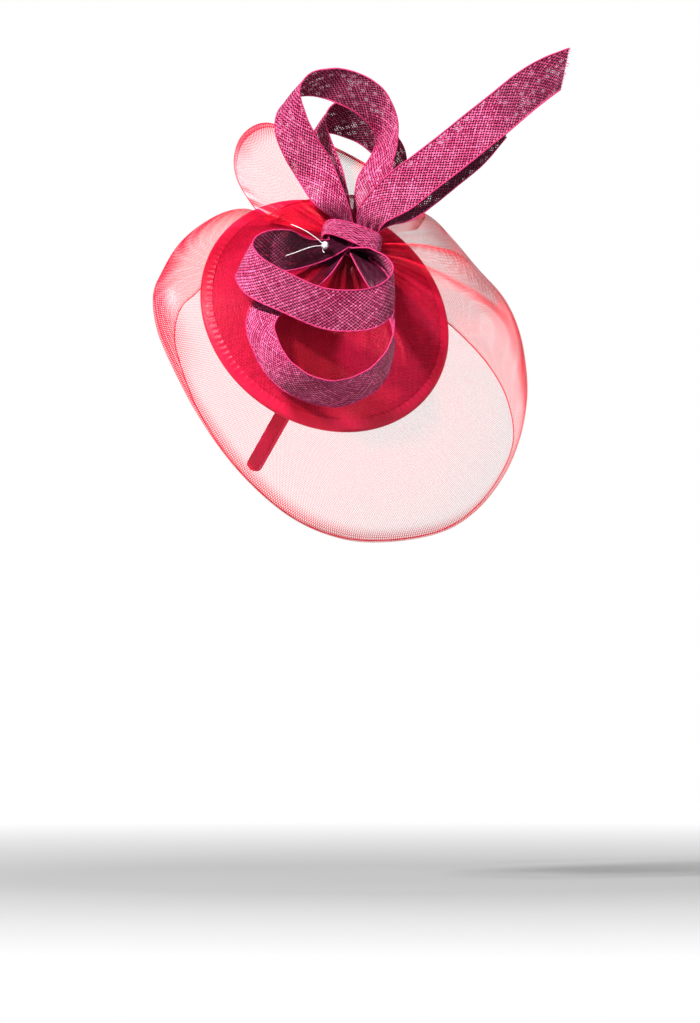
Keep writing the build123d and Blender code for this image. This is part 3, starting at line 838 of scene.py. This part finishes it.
for t in np.linspace(0, 1, 16)[1:]:
    bend = t * roll_angle
    inward = back * (1 - np.cos(bend)) / (1 - math.cos(roll_angle))
    down = (2.5 * mm + 0.40 * back) * np.sin(bend)
    pull = 1 - inward / edge_reach
    x = centre_flat[0] + (edge_x - centre_flat[0]) * pull
    y = centre_flat[1] + (edge_y - centre_flat[1]) * pull
    saucer.append(rim_middle + rim_x * x[:, None] + rim_y * y[:, None] - rim_normal * down[:, None])
    crowd = np.full_like(back, 1.7 + 5.2 * (1 - smooth(t, 0, 0.5)) + 3.0 * smooth(t, 0.93, 1))
    saucer_flat.append(np.stack([edge_length, -back * 1.35 * t, crowd], 1))
    saucer_shade.append(np.zeros_like(back))
saucer, saucer_flat = np.array(saucer), np.array(saucer_flat)
crin_saucer = grid("crinoline_saucer", saucer, saucer_flat, crin_cloth, depth=np.array(saucer_shade))
worn(crin_saucer, "crinoline", "crin_brim")

# %% Edge threads of the saucer
saucer_edge = edging("crinoline_saucer_edge", [saucer[-1]], 1.2 * mm, 0.28 * mm, 2.4 * mm, crin_thread)
worn(saucer_edge, "crinoline")
rim_run = float(edge_length[-1])
round(area_of(saucer) / rim_run, 3)
print("saucer rim", round(rim_run, 3), "area", round(area_of(saucer), 4))

# %% [markdown]
# ## Crinoline crest
#
# The rest of the braid stands up behind the loops as a soft lobe. It is a second fan from the knot, leaning
# back over the head, with a close fold along its lower left edge.

# %% Crest cloth
crest_rim = through([
    (-50.0, 10, 10.0), (-59.5, 20, 18.6), (-66.3, 25, 27.9), (-71.9, 31, 38.0), (-73.8, 37, 50.0),
    (-71.0, 43, 62.0), (-64.5, 47, 70.0), (-55.8, 49, 73.8), (-46.0, 49, 72.5), (-30.0, 46, 66.5),
    (-11.8, 42, 58.9), (9.9, 36, 47.1), (29.8, 28, 31.6), (44.0, 21, 18.0), (40.0, 15, 6.0),
], 16) * mm + knot
crest_root = knot - knot_out * 6 * mm + knot_up * 4 * mm
crest_length = travelled(crest_rim)
crest, crest_flat = [], []
place = np.linspace(0, 1, len(crest_rim))
folds = np.sin(place * 60 + 2 * np.sin(place * 9)) + 0.6 * np.sin(place * 97 + 1)
for r in np.concatenate([np.linspace(0.12, 0.92, 50), np.linspace(0.935, 1, 10)]):
    ray = crest_rim - crest_root
    away = np.linalg.norm(ray, axis=1) * r
    bulge = 7 * mm * np.sin(math.pi * r) * np.sin(math.pi * place) ** 0.6
    fade = np.exp(-away / (26 * mm))
    point = crest_root + ray * r - vec(0, 1, 0) * (bulge + 1.2 * mm * folds * fade)[:, None] \
        + knot_out * (1.2 * mm * folds * fade)[:, None]
    dense = 5.0 * np.exp(-((place - 0.05) / 0.08) ** 2) + 5.5 * smooth(r, 0.78, 1) ** 2
    crowd = 1 + 0.9 / (0.25 + away / (26 * mm)) + dense
    crest.append(point)
    crest_flat.append(np.stack([crest_length, np.linalg.norm(ray, axis=1) * (1 - r), crowd], 1))
tuck = 4 * mm * np.sin(math.pi * place) ** 0.4
inward = unit(crest_root - crest_rim.mean(0))
for t in np.linspace(0, 1, 8)[1:]:
    bend = t * math.radians(150)
    crest.append(crest_rim + inward * (tuck * (1 - np.cos(bend)) * 0.5)[:, None]
                 + vec(0, 1, 0) * (tuck * np.sin(bend))[:, None])
    crest_flat.append(np.stack([crest_length, -tuck * 1.6 * t, np.full_like(place, 5.0)], 1))
crest, crest_flat = np.array(crest), np.array(crest_flat)
crin_crest = grid("crinoline_crest", crest, crest_flat, crin_cloth)
worn(crin_crest, "crinoline", "crin_crest")
crest_run = float(crest_length[-1])
crest_edge = edging("crinoline_crest_edge", [crest[-1]], 1.2 * mm, 0.28 * mm, 2.4 * mm, crin_thread)
worn(crest_edge, "crinoline")
round(area_of(crest) / crest_run, 3)

# %% [markdown]
# ## The gathered bunch under the knot
#
# Where the braid is drawn up on its thread it bunches into tight pleats. They are modelled as one ruffled
# ring that stands between the base and the knot.

# %% Bunched crinoline
turn = np.linspace(0, math.tau, 541)
bunch, bunch_flat = [], []
foot = knot - knot_out * 14.6 * mm
ruffle = np.sin(turn * 24 + 1.1 * np.sin(turn * 5)) + 0.5 * np.sin(turn * 41)
for r in np.linspace(0.1, 1, 26):
    radius = (3 + 16.5 * r + 0.5 * ruffle * r) * mm
    height = (8.6 - 7.6 * r ** 2.2 + 0.75 * ruffle * (0.3 + r)) * mm
    bunch.append(foot + knot_right * (radius * np.cos(turn))[:, None]
                 + knot_up * (radius * np.sin(turn))[:, None]
                 + knot_out * np.maximum(height, 0.4 * mm)[:, None])
    bunch_flat.append(np.stack([turn * 60 * mm, radius, np.full_like(turn, 3.4 - 1.2 * r)], 1))
bunch, bunch_flat = np.array(bunch), np.array(bunch_flat)
# Painted shade darkens the whole bunch through its depth attribute.
crin_bunch = grid("crinoline_bunch", bunch, bunch_flat, crin_cloth, depth=0.7)
worn(crin_bunch, "crinoline", "crin_gather")
round(area_of(bunch) / 0.02, 3)

# %% [markdown]
# ## Sinamay loops and tails
#
# Each is one bias strip 25 mm wide with folded edges. Its stations give the middle of the strip, the
# direction across it and a share of its width, measured from the knot in millimetres. The cloth is stiff, so
# it bends in clean curves, cups a little across its width and is pleated narrower in the knot. A twisted
# edge thread runs along both sides.

# %% Strip builder
strip_width, root_width, cup = 25 * mm, 13.6 * mm, 0.7 * mm
root_pitch, root_centre, wrap_height = 1.6 * mm, 7.7 * mm, 15 * mm


def root_rows(column, layer, end, flip):
    lift = (1.5 - layer) * root_pitch
    where = knot + knot_right * column * root_centre + knot_out * lift + knot_up * end * 0.5 * mm
    lifts = (0, wrap_height / 4, wrap_height / 2, wrap_height / 2 + 2 * mm)
    return [(*(where + knot_up * end * k), *(knot_right * flip), root_width) for k in lifts]


def station_rows(rows):
    return [(*(knot + vec(x, y, z) * mm), *unit((ax, ay, az)), strip_width * share)
            for x, y, z, ax, ay, az, share in rows]


def shade_span(travel, length):
    """1 over the first part of a length and 0 beyond it, where there is such a length."""
    return (1 - smooth(travel, 0.6 * length, length + 0.1 * mm)) * (length > 0)


def strip(name, node, first, stations, last=None, seed=0, shaded_first=0.0, shaded_last=0.0, shade=0.93, crown=0.0):
    """Cloth strip and its two edge threads. `first` and `last` place its ends in the knot; a tail has no last
    one. Its first and last lengths can be darkened with painted shade, and its crown too."""
    rows = np.array(root_rows(*first) + station_rows(stations) + (root_rows(*last)[::-1] if last else []))
    packed = np.hstack([rows[:, :3], rows[:, 3:6] * rows[:, 6:7], rows[:, 6:7]])
    line = through(packed, 14)
    centre, span, width = line[:, :3], line[:, 3:6], line[:, 6]
    along = travelled(centre)
    ahead = np.gradient(centre, axis=0)
    face = np.cross(ahead, span)
    face /= np.linalg.norm(face, axis=1)[:, None]
    across = np.linspace(-0.5, 0.5, 19)
    wave = 0.25 * mm * np.sin(along * 160 + seed) + 0.18 * mm * np.sin(along * 370 + 2 * seed)
    pinch = 1 - smooth(width, root_width * 1.02, strip_width * 0.95)
    sheet, flat = [], []
    for u in across:
        bow = cup * (0.25 - u * u) * 4
        pleat = 0.32 * mm * np.sin(u * math.tau * 3.0) * pinch
        lift = bow * (1 - pinch) + pleat + wave * u * 1.6
        sheet.append(centre + span * u + face * lift[:, None])
        flat.append(np.stack([np.full_like(along, u * strip_width), along, np.full_like(along, 1)], 1))
    sheet = np.array(sheet).transpose(1, 0, 2)
    flat = np.array(flat).transpose(1, 0, 2)
    # Painted shade: the depth attribute darkens the first and last lengths, at strength `shade`, and the
    # crown.
    deep = shade * np.maximum(shade_span(along, shaded_first), shade_span(along[-1] - along, shaded_last))
    deep = np.maximum(deep, crown * np.exp(-((along / along[-1] - 0.52) / 0.13) ** 4))
    piece = grid(name, sheet, flat, strip_cloth, depth=deep[:, None])
    worn(piece, "sinamay", node)
    trim = edging(name + "_edges", [sheet[:, 0], sheet[:, -1]], 0.7 * mm, 0.34 * mm, 2.6 * mm, strip_thread)
    worn(trim, "sinamay")
    round(area_of(sheet), 6)
    return sheet


# %% Upper loops
# Painted shade darkens the crown of each upper loop, and both ends of the back one.
strip("loop_front_high", "loop_upper_front", (-1, 1, 1, -1), [
    (-13.6, -2, 23.6, -0.93, -0.10, -0.20, 0.80),
    (-22.9, 3, 42.2, -0.75, 0.35, -0.55, 1.0),
    (-31.0, 0, 55.2, -0.75, 0.35, -0.52, 1.0),
    (-37.6, -3, 69.5, -0.70, 0.42, -0.55, 1.0),
    (-39.6, -4, 84.0, -0.60, 0.42, -0.68, 1.0),
    (-32.2, -3, 94.0, -0.62, 0.38, -0.68, 1.0),
    (-17.4, -1, 97.0, -0.66, 0.36, -0.66, 1.0),
    (-1.9, 1, 93.0, -0.66, 0.36, -0.66, 1.0),
    (12.2, 4, 84.5, -0.60, 0.50, -0.60, 1.0),
    (21.0, 8, 71.0, -0.50, 0.70, -0.45, 1.0),
    (20.6, 11, 56.4, -0.60, 0.75, -0.20, 1.0),
    (13.8, 13, 40.0, -0.80, 0.55, -0.10, 0.95),
    (9.5, 9.5, 20.0, -0.95, 0.20, 0.0, 0.66),
], (1, 2, 1, -1), seed=1, crown=0.5)
strip("loop_back_high", "loop_upper_back", (-1, 2.2, 1, -1), [
    (-9.5, 6.5, 24.0, -0.92, 0.10, -0.10, 0.62),
    (-16.1, 18, 42.8, -0.75, 0.55, -0.35, 0.95),
    (-21.5, 21, 58.0, -0.60, 0.62, -0.48, 1.0),
    (-22.0, 23, 69.0, -0.45, 0.60, -0.66, 1.0),
    (-14.0, 25, 76.0, -0.42, 0.55, -0.72, 1.0),
    (0.6, 27, 73.5, -0.42, 0.55, -0.72, 1.0),
    (15.4, 30, 65.0, -0.45, 0.60, -0.66, 1.0),
    (25.9, 31, 50.0, -0.55, 0.72, -0.40, 1.0),
    (23.6, 28, 34.7, -0.75, 0.62, -0.15, 0.95),
    (14.5, 13, 16.0, -0.92, 0.30, 0.0, 0.62),
], (1, 3, 1, -1), seed=2, shaded_first=30 * mm, shaded_last=60 * mm, crown=0.6)

# %% Tails
# Painted shade darkens the outer end of the long tail and the whole of the short one.
long_sheet = strip("tail_high", "tail_long", (1, -0.3, 1, -1), [
    (13.0, -0.5, 15.0, -0.80, 0.0, 0.50, 0.75),
    (28.5, -3, 27.9, -0.63, 0.0, 0.77, 1.0),
    (45.5, -7, 41.0, -0.62, 0.0, 0.78, 1.0),
    (63.2, -10, 54.6, -0.62, 0.0, 0.78, 1.0),
    (78.0, -12, 66.5, -0.60, 0.0, 0.80, 1.0),
    (91.1, -13, 76.9, -0.52, 0.0, 0.85, 1.0),
    (107.0, -14, 90.0, -0.40, 0.0, 0.92, 1.0),
    (119.7, -13, 98.5, -0.15, 0.0, 0.98, 1.0),
    (132.1, -11, 104.8, 0.20, 0.0, 0.98, 1.04),
], seed=3, shaded_last=64 * mm, shade=0.5)
short_sheet = strip("tail_low", "tail_short", (1, 1, 1, -1), [
    (16.0, 3.5, 12.0, -0.85, 0.0, 0.50, 0.65),
    (30.0, 1.0, 20.5, -0.68, 0.0, 0.73, 0.95),
    (43.0, -1.0, 30.5, -0.63, 0.0, 0.77, 1.0),
    (57.0, -3.0, 41.8, -0.62, 0.0, 0.78, 1.0),
    (74.4, -5, 56.2, -0.58, 0.0, 0.81, 1.0),
    (92.5, -6, 74.5, -0.28, 0.0, 0.96, 0.98),
], seed=4, shaded_first=190 * mm, shade=0.8)

# %% Lower loops
# Painted shade darkens both ends of each lower loop, and the crown of the front one.
strip("loop_front_low", "loop_lower_front", (-1, 1, -1, -1), [
    (-23.0, -25, -8.0, -0.55, -0.25, 0.80, 0.70),
    (-38.4, -40, -8.7, 0.05, 0.10, 0.99, 1.0),
    (-55.0, -46, -9.0, 0.25, -0.05, 0.97, 1.0),
    (-66.0, -56, -13.6, 0.45, -0.15, 0.87, 0.95),
    (-60.5, -69, -24.5, 0.30, -0.10, 0.95, 1.0),
    (-42.2, -76, -34.7, 0.05, 0.0, 1.0, 1.0),
    (-18.0, -78, -45.0, 0.0, 0.0, 1.0, 1.0),
    (2.5, -76, -46.5, 0.0, 0.0, 1.0, 1.0),
    (16.5, -70, -43.4, 0.0, 0.05, 1.0, 1.0),
    (24.8, -60, -35.5, 0.0, 0.10, 1.0, 1.0),
    (24.5, -46, -25.0, -0.15, 0.15, 0.97, 0.9),
    (16.5, -28, -14.5, -0.55, 0.10, 0.80, 0.72),
], (1, 0, -1, -1), seed=5, shaded_first=88 * mm, shaded_last=56 * mm, crown=0.35)
strip("loop_hanging", "loop_lower_hanging", (-1, 2.5, -1, 1), [
    (-21.0, -25, -22.0, 0.88, -0.25, -0.35, 0.58),
    (-36.0, -46, -32.0, 0.75, -0.35, -0.55, 0.75),
    (-49.0, -59, -41.0, 0.70, -0.52, -0.45, 0.88),
    (-55.8, -70, -52.0, 0.66, -0.68, -0.22, 1.0),
    (-53.9, -78, -65.1, 0.68, -0.71, 0.05, 1.0),
    (-44.6, -85, -82.0, 0.55, -0.75, 0.35, 1.0),
    (-28.6, -87, -93.5, 0.30, -0.78, 0.55, 1.0),
    (-8.0, -84, -97.5, 0.0, -0.78, 0.62, 1.0),
    (13.0, -75, -88.5, -0.30, -0.85, 0.42, 1.0),
    (23.8, -65, -71.9, -0.15, -0.98, 0.12, 1.0),
    (25.4, -54, -55.2, 0.05, -1.0, 0.0, 0.85),
    (21.5, -38, -39.0, 0.45, -0.80, 0.35, 0.65),
    (14.5, -22, -24.0, 0.88, -0.25, 0.25, 0.58),
], (1, 2.5, -1, 1), seed=6, shaded_first=80 * mm, shaded_last=60 * mm)

# %% Frayed ends
random = np.random.default_rng(7)
frays = []
for sheet in (long_sheet, short_sheet):
    end, inner = sheet[-1], sheet[-6]
    for _ in range(26):
        spot = random.uniform(0, len(end) - 1)
        i = int(spot)
        base = end[i] + (end[min(i + 1, len(end) - 1)] - end[i]) * (spot - i)
        ahead = unit(end[i] - inner[i])
        slant = unit(end[-1] - end[0]) * random.choice([-1, 1])
        out = unit(ahead + slant * random.uniform(0.5, 1.1) + random.normal(0, 0.15, 3))
        length = random.uniform(0.4, 1.3) * mm
        line = through([base - out * 0.8 * mm, base, base + out * length,
                        base + out * length * 1.6 + random.normal(0, 0.3, 3) * mm], 4)
        frays.append(tube(line, 0.12 * mm, 4))
fray_threads = joined("tail_fray_threads", frays, strip_thread)
worn(fray_threads, "sinamay")

# %% [markdown]
# ## Knot band
#
# A last length of strip is folded in pleats and wrapped round all the others. It bulges in front, and its
# pleats run along it. It is an oval ring, a little taller on the right, with soft ridges.

# %% Knot band
turn = np.linspace(0, math.tau, 241)
half_wide, half_deep = 18.6 * mm, 6.4 * mm
band, band_flat = [], []
c, s = np.cos(turn), np.sin(turn)
x = np.sign(c) * np.abs(c) ** 0.72 * half_wide
y = np.sign(s) * np.abs(s) ** 0.82 * half_deep
tall = (15.0 + 3.6 * c) * mm
for h in np.linspace(-0.5, 0.5, 41):
    ridge = 0.42 * mm * np.sin(h * math.tau * 4.2 + 0.5 * np.sin(turn * 2) + 0.6) * (0.4 + 0.6 * np.abs(s))
    belly = 0.7 * mm * (0.25 - h * h) * 4
    roll = -0.4 * mm * smooth(abs(h), 0.46, 0.5)
    swell = ridge + belly + roll
    band.append(knot + knot_right * (x * (1 + swell / half_wide))[:, None]
                + knot_out * (y * (1 + swell / half_deep))[:, None]
                + knot_up * (tall * h - 1.4 * mm)[:, None])
    band_flat.append(np.stack([np.full_like(turn, h * strip_width), turn * 14 * mm, np.ones_like(turn)], 1))
band, band_flat = np.array(band), np.array(band_flat)
knot_band = grid("knot_band", band, band_flat, strip_cloth)
worn(knot_band, "sinamay", "knot_wrap")
band_edges = edging("knot_band_edges", [band[0], band[-1]], 0.7 * mm, 0.34 * mm, 2.6 * mm, strip_thread)
worn(band_edges, "sinamay")
round(area_of(band) / 0.09, 4)

# %% [markdown]
# ## Gathering thread
#
# The white thread that drew up the crinoline is tied off in a small knot at the lower left corner of the
# band, and its two ends trail to the left. The knot is three small wound loops.

# %% White thread
corner = knot + vec(-16.6, -20.5, -5.0) * mm
wound = []
for tilt, size in ((0.3, 2.0), (1.4, 1.7), (2.5, 1.9)):
    t = np.linspace(0, 2.2 * math.tau, 70)
    a = unit((math.cos(tilt), 0.3, math.sin(tilt)))
    b = unit(np.cross(a, vec(0.2, 1, 0.1)))
    c = np.cross(a, b)
    line = corner + (b * (np.cos(t) * size)[:, None] + c * (np.sin(t) * size)[:, None]
                     + a * np.linspace(-0.8, 0.8, len(t))[:, None]) * mm
    wound.append(tube(line, 0.45 * mm, 7))
for ends in (
    [(0, 0, 0), (-6, -2, 5), (-13, -4, 9.5), (-21, -5, 13)],
    [(0, 0, 0), (-8, -8, -1), (-16, -16, -4), (-24, -24, -7)],
    [(0, 0, 0), (-1.5, -1, -2.5), (-0.5, -1.5, -4.5)],
):
    wound.append(tube(corner + through(ends, 8) * mm, 0.26 * mm, 6))
tie = joined("gather_tie_thread", wound, white_thread)
worn(tie, "thread", "gather_thread")

# %% [markdown]
# ## Floor
#
# A pale round floor. Towards its edge it takes less light and glows more, so that it melts into the white
# round the horizon. It is stage, not part of the object.

# %% Floor
floor_level, floor_radius = -0.407, 1.5
hub_share = 0.00002
ring, turn = np.meshgrid(np.linspace(hub_share, 1, 12), np.linspace(0, math.tau, 97), indexing="ij")
disc = np.stack([ring * floor_radius * np.cos(turn), ring * floor_radius * np.sin(turn),
                 np.full_like(ring, floor_level)], -1)
paper = Finish("floor_paper", Roughness=0.9, Specular_IOR_Level=0.1, Emission_Strength=1.0)
reach, _, _ = paper.cloth()
outer = reach.ramp(0.15, 0.75)
glow = paper.mix(outer, (0.34, 0.34, 0.34, 1), (1, 1, 1, 1))
grain = paper.mix(paper.noise(6, 2), (0.10, 0.10, 0.10, 1), (0.12, 0.12, 0.12, 1))
paper.feed(Base_Color=paper.mix(outer, grain, (0, 0, 0, 1)), Emission_Color=glow)
floor = grid("floor_disc", disc, np.stack([ring, ring, ring], -1), paper.made)
